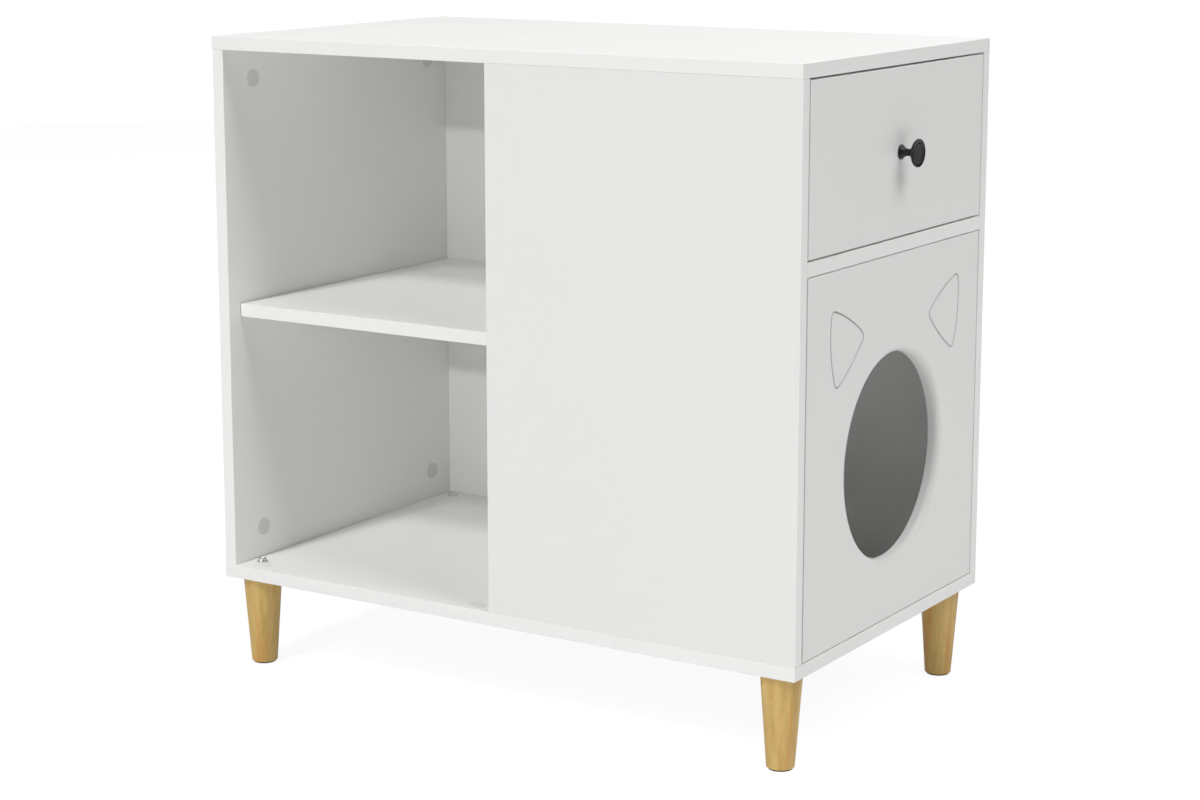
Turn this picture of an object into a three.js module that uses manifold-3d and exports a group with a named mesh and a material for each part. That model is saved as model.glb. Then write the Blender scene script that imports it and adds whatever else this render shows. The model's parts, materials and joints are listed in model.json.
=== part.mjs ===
// Cat litter box cabinet: a flat-pack board cabinet on four turned legs. The left half is an open
// shelf bay. The right half hides a litter tray behind a plain front panel, and its right-hand end
// has a drawer over a pivoting door with a round cat hole and two engraved ears.
//
// Millimetres, +Z up. The origin is on the floor, in the middle of the whole object with its knob.
// -Y is the front with the shelves, +X is the end with the drawer and the cat door.

import * as THREE from 'three';
import { RoundedBoxGeometry } from 'three/addons/geometries/RoundedBoxGeometry.js';
import { mergeVertices } from 'three/addons/utils/BufferGeometryUtils.js';
import Module from 'manifold-3d';

const wasm = await Module();
wasm.setup();

// ---------------------------------------------------------------- driving dimensions

const WIDTH = 800; // top and bottom boards, along X
const DEPTH = 470; // top and bottom boards, along Y
const BODY_HEIGHT = 668; // underside of the bottom board to the top of the top board
const BOARD = 16; // every structural board
const EASE = 0.8; // radius of the eased board edges
const SETBACK = 0.5; // side board and front panel behind the edges of top and bottom
const PANEL_WIDTH = 403; // plain front panel, measured from the right-hand end

const SHELF_RISE = 310; // bottom board to the underside of the shelf
const SHELF_SETBACK = 21; // shelf behind the front edge
const SHELF_END_GAP = 1; // between the shelf and the boards beside it
const TRAY_BAY_HEIGHT = 425; // clear height behind the cat door

const FRONT_GAP = 2.5; // all round the drawer front, and at the sides of the cat door
const DOOR_END_GAP = 1.2; // above and below the cat door
const HOLE_RADIUS = 120;
const HOLE_RISE = 190.5; // bottom board to the middle of the hole
const HOLE_ROUNDING = 6; // outer rim of the hole
const HOLE_INNER_EASE = 1.5; // inner rim of the hole
const EAR_GROOVE_WIDTH = 2;
const EAR_GROOVE_DEPTH = 1;
// Corners of the right-hand ear, from the middle of the hole: [across, up].
const EAR_TIP = [160.5, 191];
const EAR_INNER = [81, 152.5];
const EAR_LOWER = [149, 101];
// How far each side of an ear bows out from its chord.
const EAR_TOP_BOW = 4.5;
const EAR_LOWER_BOW = 3.5;
const EAR_OUTER_BOW = 7;
const EAR_CORNER_SHARE = 0.1; // share of each side taken by a rounded corner

const DRAWER_BACK_GAP = 21; // drawer box to the divider
const DRAWER_BOX_HEIGHT = 130;
const DRAWER_BOX_RISE = 13; // bottom edge of the box above the deck
const DRAWER_BOARD = 12; // sides and back of the drawer box
const SHEET = 3; // drawer bottom
const GROOVE_DEPTH = 5; // drawer bottom groove
const GROOVE_RISE = 10; // groove above the bottom edge of the box
const GROOVE_PLAY = 0.4;

const SLIDE_SPACE = 13; // cabinet wall to drawer side
const SLIDE_BACK_GAP = 23; // slides to the divider
const SLIDE_OVERLAP = 85; // what stays in the cabinet's channel with the drawer out
const SLIDE_HEIGHT = 35;
const SLIDE_INNER_HEIGHT = 20;
const SLIDE_METAL = 1.2;
const SLIDE_LIP = 9.5; // reach of the outer channel's flanges
const SLIDE_INNER_LIP = 8; // reach of the drawer member's flanges
const SLIDE_RISE = 52; // middle of the slide above the deck
const SLIDE_FRONT_PLAY = 3; // slides behind the drawer front
const BALL_RADIUS = 2.8;
const BALL_REACH = 7; // ball centres from the cabinet wall
const BALLS_PER_ROW = 4;
const CAGE_PLAY = 0.5; // cage ends inside the overlap
const CAGE_METAL = 1;
const CAGE_STAND_OFF = 2; // cage web from the cabinet wall
const CAGE_LIP = 8; // reach of the cage's arms

const KNOB_RADIUS = 16;
const KNOB_LENGTH = 23;
const KNOB_BASE_RADIUS = 8.5;
const KNOB_NECK_RADIUS = 4.1;
const KNOB_NECK_RISE = 8.5; // drawer front to the thinnest place of the neck
const KNOB_HEAD_THICKNESS = 8.5; // from where the neck flares out to the face
const KNOB_SCREW_RADIUS = 2;
const KNOB_SCREW_GRIP = 12; // screw inside the knob
const KNOB_SCREW_HEAD_RADIUS = 4;
const KNOB_SCREW_HEAD = 2.4;

const PIVOT_INSET = 15; // pivot pins from the door's hinge edge
const PIVOT_PIN_RADIUS = 3;
const PIVOT_PIN_LENGTH = 22;
const PIVOT_PIN_IN_DOOR = 12;
const BUSH_RADIUS = 5;
const BUSH_LENGTH = 11; // in the board
const BUSH_FLANGE_RADIUS = 7;
const BUSH_PLAY = 0.3; // flange to the door's edge

const CATCH_WIDTH = 46;
const CATCH_HEIGHT = 14;
const CATCH_DEPTH = 15;
const CATCH_INSET_Y = 66.5; // from the door's free edge to the middle of the catch
const STRIKE_WIDTH = 22;
const STRIKE_HEIGHT = 9;
const STRIKE_METAL = 1.5;

const LEG_LENGTH = 110;
const LEG_TOP_RADIUS = 24;
const LEG_FOOT_RADIUS = 16;
const LEG_FOOT_ROUNDING = 2;
const LEG_INSET_X = 33; // leg axis from the end of the bottom board
const LEG_INSET_Y = 32;
const GLIDE_RADIUS = 14;
const GLIDE_THICKNESS = 2;
const LEG_BOLT_RADIUS = 4;
const LEG_BOLT_GRIP = 32; // bolt inside the leg
const LEG_BOLT_HEAD_RADIUS = 6.8;
const LEG_BOLT_HEAD = 4.6;

const CAM_RADIUS = 7.2;
const CAM_DEPTH = 12;
const CAM_INSET_Y = 56; // from the front and back edges
const CAM_RISE = 37.5; // from the boards above and below
const CAM_BOLT_RADIUS = 3;
const CAM_BOLT_NECK_RADIUS = 2;
const CAM_BOLT_HEAD_RADIUS = 3.5;
const CAM_BOLT_THREAD = 11; // screwed into the top or bottom board
const CAP_RADIUS = 10.8;
const CAP_THICKNESS = 1;
const FLOOR_CAP_INSET_X = 28; // from the boards at each end of the open bay
const FLOOR_CAP_INSET_Y = 17.5;

const SHELF_PIN_RADIUS = 2.5;
const SHELF_PIN_SUNK = 8;
const SHELF_TAB = [9, 12, 4]; // reach, width and thickness of the tab under the shelf
const SHELF_PIN_INSET = 64; // from the shelf's front and back edges

const FIT = 0.3; // between a turned piece and its bore
const BORE_PLAY = 0.5; // at the blind end of a bore

// ---------------------------------------------------------------- planes worked out from them

const LEFT = -(WIDTH + KNOB_LENGTH) / 2;
const RIGHT = LEFT + WIDTH;
const FRONT = -DEPTH / 2;
const BACK = DEPTH / 2;
const UNDERSIDE = GLIDE_THICKNESS + LEG_LENGTH;
const BAY_FLOOR = UNDERSIDE + BOARD;
const TOP = UNDERSIDE + BODY_HEIGHT;
const ROOF = TOP - BOARD;

const SIDE_OUTER = LEFT + SETBACK;
const SIDE_INNER = SIDE_OUTER + BOARD;
const SIDE_MIDDLE = SIDE_OUTER + BOARD / 2;
const DIVIDER_LEFT = RIGHT - PANEL_WIDTH;
const DIVIDER_RIGHT = DIVIDER_LEFT + BOARD;
const PANEL_FRONT = FRONT + SETBACK;
const PANEL_BACK = FRONT + BOARD;
const BACK_INNER = BACK - BOARD;
const DECK_BOTTOM = BAY_FLOOR + TRAY_BAY_HEIGHT;
const DECK_TOP = DECK_BOTTOM + BOARD;
const SHELF_BOTTOM = BAY_FLOOR + SHELF_RISE;
const SHELF_Y = [FRONT + SHELF_SETBACK, BACK_INNER - SHELF_END_GAP];

const FACE_INNER = RIGHT - BOARD; // inner face of the drawer front and the cat door
const FACE_Y = [PANEL_BACK + FRONT_GAP, BACK_INNER - FRONT_GAP];
const HOLE_Y = (PANEL_BACK + BACK_INNER) / 2;
const HOLE_Z = BAY_FLOOR + HOLE_RISE;
const PIVOT_X = RIGHT - BOARD / 2;
const PIVOT_Y = FACE_Y[1] - PIVOT_INSET;
const DOOR_Z = [BAY_FLOOR + DOOR_END_GAP, DECK_BOTTOM - DOOR_END_GAP];
const CATCH_Y = FACE_Y[0] + CATCH_INSET_Y;

const DRAWER_FACE_Z = [DECK_TOP + FRONT_GAP, ROOF - FRONT_GAP];
const BOX_X = [DIVIDER_RIGHT + DRAWER_BACK_GAP, FACE_INNER];
const BOX_Y = [PANEL_BACK + SLIDE_SPACE, BACK_INNER - SLIDE_SPACE];
const BOX_Z = [DECK_TOP + DRAWER_BOX_RISE, DECK_TOP + DRAWER_BOX_RISE + DRAWER_BOX_HEIGHT];
const GROOVE_Z = BOX_Z[0] + GROOVE_RISE;
const KNOB_Z = (DRAWER_FACE_Z[0] + DRAWER_FACE_Z[1]) / 2;
const SLIDE_Z = DECK_TOP + SLIDE_RISE;
const SLIDE_X = [DIVIDER_RIGHT + SLIDE_BACK_GAP, FACE_INNER - SLIDE_FRONT_PLAY];

// ---------------------------------------------------------------- materials

const finish = (color, roughness, metalness = 0) =>
  new THREE.MeshStandardMaterial({ color, roughness, metalness });

const whiteBoard = finish(0xe6e6e4, 0.45);
const whiteSheet = finish(0xdededb, 0.6);
const beech = finish(0xc9a465, 0.5);
const blackPaint = finish(0x1c1c1c, 0.5, 0.3);
const blackPad = finish(0x1a1a18, 0.9);
const zinc = finish(0xb8babd, 0.35, 0.9);
const whitePlastic = finish(0xd8d8d5, 0.5);

// ---------------------------------------------------------------- solids

/** A closed three.js geometry as a solid that can be cut and joined. */
function solid(geometry) {
  const bare = geometry.index ? geometry.toNonIndexed() : geometry.clone();
  bare.deleteAttribute('normal');
  bare.deleteAttribute('uv');
  const merged = mergeVertices(bare, 1e-4);
  const corners = merged.index.array;
  const triangles = [];
  for (let i = 0; i < corners.length; i += 3) {
    const [a, b, c] = corners.subarray(i, i + 3);
    if (a !== b && b !== c && c !== a) triangles.push(a, b, c);
  }
  const mesh = new wasm.Mesh({
    numProp: 3,
    vertProperties: new Float32Array(merged.attributes.position.array),
    triVerts: new Uint32Array(triangles),
  });
  mesh.merge();
  return new wasm.Manifold(mesh);
}

/** A solid as a geometry again. */
function geometryOf(body) {
  const mesh = body.getMesh();
  const geometry = new THREE.BufferGeometry();
  geometry.setAttribute('position', new THREE.BufferAttribute(mesh.vertProperties, 3));
  geometry.setIndex(new THREE.BufferAttribute(mesh.triVerts, 1));
  geometry.computeVertexNormals();
  return geometry;
}

const cut = (body, ...tools) => tools.reduce((rest, tool) => rest.subtract(tool), body);
const join = (body, ...others) => others.reduce((sum, other) => sum.add(other), body);

/** A box between two planes on each axis, with square edges. */
function block([x0, x1], [y0, y1], [z0, z1]) {
  const geometry = new THREE.BoxGeometry(x1 - x0, y1 - y0, z1 - z0);
  geometry.translate((x0 + x1) / 2, (y0 + y1) / 2, (z0 + z1) / 2);
  return solid(geometry);
}

/** A board between two planes on each axis, with eased edges. */
function board([x0, x1], [y0, y1], [z0, z1], ease = EASE) {
  const geometry = new RoundedBoxGeometry(x1 - x0, y1 - y0, z1 - z0, 1, ease);
  geometry.translate((x0 + x1) / 2, (y0 + y1) / 2, (z0 + z1) / 2);
  return solid(geometry);
}

/** A turned solid about +Z. The profile is a list of [radius, height], from the bottom up. */
function turned(profile, sides) {
  const points = profile.map(([radius, height]) => new THREE.Vector2(radius, height));
  return new THREE.LatheGeometry(points, sides).rotateX(Math.PI / 2);
}

/** A plain cylinder about +Z between two heights. */
const rod = (radius, z0, z1, sides) =>
  turned([[0, z0], [radius, z0], [radius, z1], [0, z1]], sides);

/** Turns a geometry made about +Z so that it lies along +X. */
const alongX = (geometry) => geometry.rotateY(Math.PI / 2);

/** Turns a geometry made about +Z so that it lies along -X. */
const alongMinusX = (geometry) => geometry.rotateY(-Math.PI / 2);

/** A flat shape drawn in Y and Z, run along X between two planes. */
function runAlongX(shape, [x0, x1]) {
  const geometry = new THREE.ExtrudeGeometry(shape, { depth: x1 - x0, bevelEnabled: false });
  const turn = new THREE.Matrix4().makeBasis(
    new THREE.Vector3(0, 1, 0),
    new THREE.Vector3(0, 0, 1),
    new THREE.Vector3(1, 0, 0),
  );
  return geometry.applyMatrix4(turn).translate(x0, 0, 0);
}

/** A named mesh whose own origin is the middle of its solid. */
function piece(name, shape, material) {
  const geometry = shape instanceof THREE.BufferGeometry ? shape : geometryOf(shape);
  geometry.computeBoundingBox();
  const middle = geometry.boundingBox.getCenter(new THREE.Vector3());
  geometry.translate(-middle.x, -middle.y, -middle.z);
  const mesh = new THREE.Mesh(geometry, material);
  mesh.name = name;
  mesh.position.copy(middle);
  return mesh;
}

/** A named mesh made about its own origin and set down at a point. */
function pieceAt(name, geometry, material, [x, y, z]) {
  const mesh = new THREE.Mesh(geometry, material);
  mesh.name = name;
  mesh.position.set(x, y, z);
  return mesh;
}

const assembly = (...members) => new THREE.Group().add(...members);

// ---------------------------------------------------------------- places of the fittings

const ROD_SIDES = 16;

const LEG_PLACES = [
  { name: 'front_left', x: LEFT + LEG_INSET_X, y: FRONT + LEG_INSET_Y },
  { name: 'front_right', x: RIGHT - LEG_INSET_X, y: FRONT + LEG_INSET_Y },
  { name: 'rear_left', x: LEFT + LEG_INSET_X, y: BACK - LEG_INSET_Y },
  { name: 'rear_right', x: RIGHT - LEG_INSET_X, y: BACK - LEG_INSET_Y },
];

// up is the way from the cam towards the board that its bolt is screwed into.
const CAM_PLACES = [
  { name: 'lower_front', y: FRONT + CAM_INSET_Y, z: BAY_FLOOR + CAM_RISE, up: -1 },
  { name: 'lower_rear', y: BACK - CAM_INSET_Y, z: BAY_FLOOR + CAM_RISE, up: -1 },
  { name: 'upper_front', y: FRONT + CAM_INSET_Y, z: ROOF - CAM_RISE, up: 1 },
  { name: 'upper_rear', y: BACK - CAM_INSET_Y, z: ROOF - CAM_RISE, up: 1 },
];

// into is the way from the shelf into the board that holds the pin.
const SHELF_PIN_PLACES = [
  { name: 'left_front', x: SIDE_INNER, y: SHELF_Y[0] + SHELF_PIN_INSET, into: -1 },
  { name: 'left_rear', x: SIDE_INNER, y: SHELF_Y[1] - SHELF_PIN_INSET, into: -1 },
  { name: 'right_front', x: DIVIDER_LEFT, y: SHELF_Y[0] + SHELF_PIN_INSET, into: 1 },
  { name: 'right_rear', x: DIVIDER_LEFT, y: SHELF_Y[1] - SHELF_PIN_INSET, into: 1 },
];
const SHELF_PIN_Z = SHELF_BOTTOM - SHELF_TAB[2] / 2;

/** The blind bore for a shelf pin. */
function shelfPinBore({ x, y, into }) {
  const bore = rod(SHELF_PIN_RADIUS + FIT, -BOARD, SHELF_PIN_SUNK + BORE_PLAY, ROD_SIDES);
  const turnedBore = into > 0 ? alongX(bore) : alongMinusX(bore);
  return solid(turnedBore.translate(x, y, SHELF_PIN_Z));
}

/** The blind bore for the threaded end of a cam bolt in the top or bottom board. */
function camThreadBore({ y, up }) {
  const depth = CAM_BOLT_THREAD + BORE_PLAY;
  const face = up > 0 ? ROOF : BAY_FLOOR;
  const span = up > 0 ? [-BOARD, depth] : [-depth, BOARD];
  return solid(rod(CAM_BOLT_RADIUS + FIT, ...span, ROD_SIDES).translate(SIDE_MIDDLE, y, face));
}

// ---------------------------------------------------------------- carcass

function topBoard() {
  const body = board([LEFT, RIGHT], [FRONT, BACK], [ROOF, TOP]);
  const bores = CAM_PLACES.filter(({ up }) => up > 0).map(camThreadBore);
  return piece('top_board', cut(body, ...bores), whiteBoard);
}

function bottomBoard() {
  const body = board([LEFT, RIGHT], [FRONT, BACK], [UNDERSIDE, BAY_FLOOR]);
  const legHoles = LEG_PLACES.map(({ x, y }) =>
    solid(rod(LEG_BOLT_RADIUS + FIT, UNDERSIDE - BOARD, BAY_FLOOR + BOARD, ROD_SIDES).translate(x, y, 0)),
  );
  const camBores = CAM_PLACES.filter(({ up }) => up < 0).map(camThreadBore);
  return piece('bottom_board', cut(body, ...legHoles, ...camBores, bushBore(-1)), whiteBoard);
}

function leftSideBoard() {
  const body = board([SIDE_OUTER, SIDE_INNER], [PANEL_FRONT, BACK - SETBACK], [BAY_FLOOR, ROOF]);
  const camHoles = CAM_PLACES.map(({ y, z }) =>
    solid(alongMinusX(rod(CAM_RADIUS + FIT, -BOARD, CAM_DEPTH + BORE_PLAY, 24)).translate(SIDE_INNER, y, z)),
  );
  const boltHoles = CAM_PLACES.map(({ y, z, up }) => {
    const span = up > 0 ? [z, TOP] : [UNDERSIDE, z];
    return solid(rod(CAM_BOLT_RADIUS + 2 * FIT, ...span, ROD_SIDES).translate(SIDE_MIDDLE, y, 0));
  });
  const pinHoles = SHELF_PIN_PLACES.filter(({ into }) => into < 0).map(shelfPinBore);
  return piece('left_side_board', cut(body, ...camHoles, ...boltHoles, ...pinHoles), whiteBoard);
}

function dividerBoard() {
  const body = board([DIVIDER_LEFT, DIVIDER_RIGHT], [PANEL_BACK, BACK_INNER], [BAY_FLOOR, ROOF]);
  const pinHoles = SHELF_PIN_PLACES.filter(({ into }) => into > 0).map(shelfPinBore);
  return piece('divider_board', cut(body, ...pinHoles), whiteBoard);
}

const frontPanel = () =>
  piece('front_panel', board([DIVIDER_LEFT, RIGHT], [PANEL_FRONT, PANEL_BACK], [BAY_FLOOR, ROOF]), whiteBoard);

const backBoard = () =>
  piece('back_board', board([SIDE_INNER, RIGHT], [BACK_INNER, BACK], [BAY_FLOOR, ROOF]), whiteBoard);

function deckBoard() {
  const body = board([DIVIDER_RIGHT, RIGHT], [PANEL_BACK, BACK_INNER], [DECK_BOTTOM, DECK_TOP]);
  return piece('deck_board', cut(body, bushBore(1)), whiteBoard);
}

function shelfBoard() {
  const x = [SIDE_INNER + SHELF_END_GAP, DIVIDER_LEFT - SHELF_END_GAP];
  return piece('shelf_board', board(x, SHELF_Y, [SHELF_BOTTOM, SHELF_BOTTOM + BOARD]), whiteBoard);
}

/** A pin with a flat tab that the shelf lies on. */
function shelfPin({ name, x, y, into }) {
  const [reach, width, thickness] = SHELF_TAB;
  const tab = new THREE.BoxGeometry(reach, width, thickness).translate((-into * reach) / 2, 0, 0);
  const pin = rod(SHELF_PIN_RADIUS - 0.5, -reach / 2, SHELF_PIN_SUNK, ROD_SIDES);
  const body = join(solid(tab), solid(into > 0 ? alongX(pin) : alongMinusX(pin)));
  return pieceAt(`shelf_pin_${name}`, geometryOf(body), zinc, [x, y, SHELF_PIN_Z]);
}

// ---------------------------------------------------------------- cam fittings in the side board

/** A cam: a short cylinder with a pocket for the bolt's head and a cross slot for the driver. */
function cam({ name, y, z, up }) {
  const depthToBolt = BOARD / 2;
  const pocketWidth = 2 * (CAM_BOLT_HEAD_RADIUS + FIT);
  const disc = solid(alongMinusX(rod(CAM_RADIUS, 0, CAM_DEPTH, 24)));
  const pocketX = [-CAM_DEPTH - 1, -depthToBolt + pocketWidth / 2];
  const pocketZ = up > 0 ? [-pocketWidth / 2, CAM_RADIUS + 1] : [-CAM_RADIUS - 1, pocketWidth / 2];
  const pocket = block(pocketX, [-pocketWidth / 2, pocketWidth / 2], pocketZ);
  const slots = [block([-1.5, 1], [-4, 4], [-0.6, 0.6]), block([-1.5, 1], [-0.6, 0.6], [-4, 4])];
  return pieceAt(`cam_${name}`, geometryOf(cut(disc, pocket, ...slots)), zinc, [SIDE_INNER, y, z]);
}

/** A cam bolt, made from the board's face up and turned over for the lower ones. */
function camBolt({ name, y, up }) {
  const neckStart = CAM_RISE - CAM_RADIUS;
  const headStart = CAM_RISE - CAM_BOLT_HEAD_RADIUS / 2;
  const profile = [
    [0, -CAM_BOLT_THREAD],
    [CAM_BOLT_RADIUS, -CAM_BOLT_THREAD],
    [CAM_BOLT_RADIUS, neckStart],
    [CAM_BOLT_NECK_RADIUS, neckStart + 1],
    [CAM_BOLT_NECK_RADIUS, headStart],
    [CAM_BOLT_HEAD_RADIUS, headStart + 0.5],
    [CAM_BOLT_HEAD_RADIUS, headStart + 2],
    [CAM_BOLT_NECK_RADIUS, headStart + 3],
    [0, headStart + 3],
  ];
  const geometry = turned(profile, ROD_SIDES);
  if (up > 0) geometry.rotateX(Math.PI);
  return pieceAt(`cam_bolt_${name}`, geometry, zinc, [SIDE_MIDDLE, y, up > 0 ? ROOF : BAY_FLOOR]);
}

/** A thin round cover, flat at the back and slightly domed. */
function coverCap() {
  return turned(
    [
      [0, 0],
      [CAP_RADIUS, 0],
      [CAP_RADIUS, CAP_THICKNESS / 2],
      [CAP_RADIUS - 0.6, CAP_THICKNESS * 0.85],
      [0, CAP_THICKNESS],
    ],
    24,
  );
}

const camCap = ({ name, y, z }) =>
  pieceAt(`cam_cap_${name}`, alongX(coverCap()), whitePlastic, [SIDE_INNER, y, z]);

const floorCap = (name, x) =>
  pieceAt(`floor_cap_${name}`, coverCap(), whitePlastic, [x, FRONT + FLOOR_CAP_INSET_Y, BAY_FLOOR]);

// ---------------------------------------------------------------- legs

/** A tapered turned leg with a bore down from its top for the bolt. */
function leg({ name, x, y }) {
  const foot = LEG_FOOT_RADIUS;
  const round = LEG_FOOT_ROUNDING;
  const boreBottom = LEG_LENGTH - LEG_BOLT_GRIP - BORE_PLAY;
  const profile = [
    [0, 0],
    [foot - round, 0],
    [foot - round * 0.3, round * 0.3],
    [foot + 0.15, round],
    [LEG_TOP_RADIUS, LEG_LENGTH - EASE],
    [LEG_TOP_RADIUS - EASE, LEG_LENGTH],
    [LEG_BOLT_RADIUS + FIT, LEG_LENGTH],
    [LEG_BOLT_RADIUS + FIT, boreBottom],
    [0, boreBottom],
  ];
  return pieceAt(`leg_${name}`, turned(profile, 32), beech, [x, y, GLIDE_THICKNESS]);
}

const glide = ({ name, x, y }) =>
  pieceAt(`leg_glide_${name}`, rod(GLIDE_RADIUS, 0, GLIDE_THICKNESS, 32), blackPad, [x, y, 0]);

/** A round-headed bolt with a flange, down through the bottom board into the leg. */
function legBolt({ name, x, y }) {
  const profile = [
    [0, -BOARD - LEG_BOLT_GRIP],
    [LEG_BOLT_RADIUS, -BOARD - LEG_BOLT_GRIP],
    [LEG_BOLT_RADIUS, 0],
    [LEG_BOLT_HEAD_RADIUS, 0],
    [LEG_BOLT_HEAD_RADIUS, LEG_BOLT_HEAD * 0.2],
    [LEG_BOLT_HEAD_RADIUS * 0.8, LEG_BOLT_HEAD * 0.3],
    [LEG_BOLT_HEAD_RADIUS * 0.76, LEG_BOLT_HEAD * 0.62],
    [LEG_BOLT_HEAD_RADIUS * 0.62, LEG_BOLT_HEAD * 0.88],
    [LEG_BOLT_HEAD_RADIUS * 0.36, LEG_BOLT_HEAD],
    [LEG_BOLT_RADIUS * 0.5, LEG_BOLT_HEAD * 0.5],
    [0, LEG_BOLT_HEAD * 0.5],
  ];
  return pieceAt(`leg_bolt_${name}`, turned(profile, ROD_SIDES), zinc, [x, y, BAY_FLOOR]);
}

// ---------------------------------------------------------------- cat door

/** A point on a side of an ear, which bows out from its chord. */
function bowedSide([ax, ay], [bx, by], bow, share) {
  const length = Math.hypot(bx - ax, by - ay);
  const out = 4 * bow * share * (1 - share);
  const x = ax + (bx - ax) * share - ((by - ay) / length) * out;
  const y = ay + (by - ay) * share + ((bx - ax) / length) * out;
  return new THREE.Vector2(x, y);
}

/** The closed middle line of the right-hand ear's groove, with three rounded corners. */
function earLine() {
  const sides = [
    [EAR_INNER, EAR_TIP, EAR_TOP_BOW],
    [EAR_TIP, EAR_LOWER, EAR_OUTER_BOW],
    [EAR_LOWER, EAR_INNER, EAR_LOWER_BOW],
  ];
  const first = bowedSide(...sides[0], EAR_CORNER_SHARE);
  const path = new THREE.Path().moveTo(first.x, first.y);
  sides.forEach(([from, to, bow], index) => {
    const next = sides[(index + 1) % sides.length];
    for (let step = 1; step <= 5; step += 1) {
      const share = EAR_CORNER_SHARE + ((1 - 2 * EAR_CORNER_SHARE) * step) / 5;
      const point = bowedSide(from, to, bow, share);
      path.lineTo(point.x, point.y);
    }
    const after = bowedSide(...next, EAR_CORNER_SHARE);
    path.quadraticCurveTo(to[0], to[1], after.x, after.y);
  });
  const points = path.getPoints(4);
  points.pop();
  return points;
}

/** A closed line moved sideways, outwards for a positive distance. */
function offsetLine(points, distance) {
  const count = points.length;
  return points.map((point, index) => {
    const before = points[(index + count - 1) % count];
    const after = points[(index + 1) % count];
    const along = after.clone().sub(before).normalize();
    return new THREE.Vector2(point.x - along.y * distance, point.y + along.x * distance);
  });
}

/** The cutter for one engraved ear. side is 1 for the right-hand ear and -1 for its mirror. */
function earGroove(side) {
  const line = earLine();
  const outer = offsetLine(line, EAR_GROOVE_WIDTH / 2);
  const inner = offsetLine(line, -EAR_GROOVE_WIDTH / 2);
  const mirrored = (points) => points.map(({ x, y }) => new THREE.Vector2(HOLE_Y + side * x, HOLE_Z + y));
  const shape = new THREE.Shape(mirrored(outer));
  shape.holes.push(new THREE.Path(mirrored(inner).reverse()));
  return solid(runAlongX(shape, [RIGHT - EAR_GROOVE_DEPTH, RIGHT + EAR_GROOVE_DEPTH]));
}

/** The cutter for the cat hole, which flares at both rims into their roundings. */
function holeCutter() {
  const steps = 5;
  const profile = [[0, -1], [HOLE_RADIUS + HOLE_INNER_EASE, -1], [HOLE_RADIUS + HOLE_INNER_EASE, 0]];
  profile.push([HOLE_RADIUS, HOLE_INNER_EASE]);
  for (let index = 0; index <= steps; index += 1) {
    const angle = (Math.PI / 2) * (index / steps);
    const radius = HOLE_RADIUS + HOLE_ROUNDING * (1 - Math.cos(angle));
    profile.push([radius, BOARD - HOLE_ROUNDING + HOLE_ROUNDING * Math.sin(angle)]);
  }
  profile.push([HOLE_RADIUS + HOLE_ROUNDING, BOARD + 1], [0, BOARD + 1]);
  return solid(alongX(turned(profile, 64)).translate(FACE_INNER, HOLE_Y, HOLE_Z));
}

/** A blind bore in the door's top or bottom edge for a pivot pin. end is 1 at the top. */
function pivotPinBore(end) {
  const edge = DOOR_Z[end > 0 ? 1 : 0];
  const depth = PIVOT_PIN_IN_DOOR + BORE_PLAY;
  const span = end > 0 ? [-depth, BOARD] : [-BOARD, depth];
  return solid(rod(PIVOT_PIN_RADIUS + FIT, ...span, ROD_SIDES).translate(PIVOT_X, PIVOT_Y, edge));
}

function catDoor() {
  const body = board([FACE_INNER, RIGHT], FACE_Y, DOOR_Z);
  const tools = [holeCutter(), earGroove(1), earGroove(-1), pivotPinBore(1), pivotPinBore(-1)];
  return piece('cat_door', cut(body, ...tools), whiteBoard);
}

function pivotPin(name, end) {
  const edge = DOOR_Z[end > 0 ? 1 : 0];
  const span = [-PIVOT_PIN_IN_DOOR, PIVOT_PIN_LENGTH - PIVOT_PIN_IN_DOOR];
  const geometry = rod(PIVOT_PIN_RADIUS, ...span, ROD_SIDES);
  if (end < 0) geometry.rotateX(Math.PI);
  return pieceAt(`pivot_pin_${name}`, geometry, zinc, [PIVOT_X, PIVOT_Y, edge]);
}

/** The bore for a pivot bush: up into the deck for end 1, down into the bottom board for -1. */
function bushBore(end) {
  const depth = BUSH_LENGTH + BORE_PLAY;
  const face = end > 0 ? DECK_BOTTOM : BAY_FLOOR;
  const span = end > 0 ? [-BOARD, depth] : [-depth, BOARD];
  return solid(rod(BUSH_RADIUS + FIT, ...span, 24).translate(PIVOT_X, PIVOT_Y, face));
}

/** A flanged plastic bush. Its flange fills the gap between the door's edge and the board. */
function pivotBush(name, end) {
  const bore = PIVOT_PIN_RADIUS + FIT;
  const flange = DOOR_END_GAP - BUSH_PLAY;
  const profile = [
    [bore, -flange],
    [BUSH_FLANGE_RADIUS, -flange],
    [BUSH_FLANGE_RADIUS, 0],
    [BUSH_RADIUS, 0],
    [BUSH_RADIUS, BUSH_LENGTH],
    [bore, BUSH_LENGTH],
    [bore, -flange],
  ];
  const geometry = turned(profile, 24);
  if (end < 0) geometry.rotateX(Math.PI);
  const face = end > 0 ? DECK_BOTTOM : BAY_FLOOR;
  return pieceAt(`pivot_bush_${name}`, geometry, whitePlastic, [PIVOT_X, PIVOT_Y, face]);
}

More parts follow.
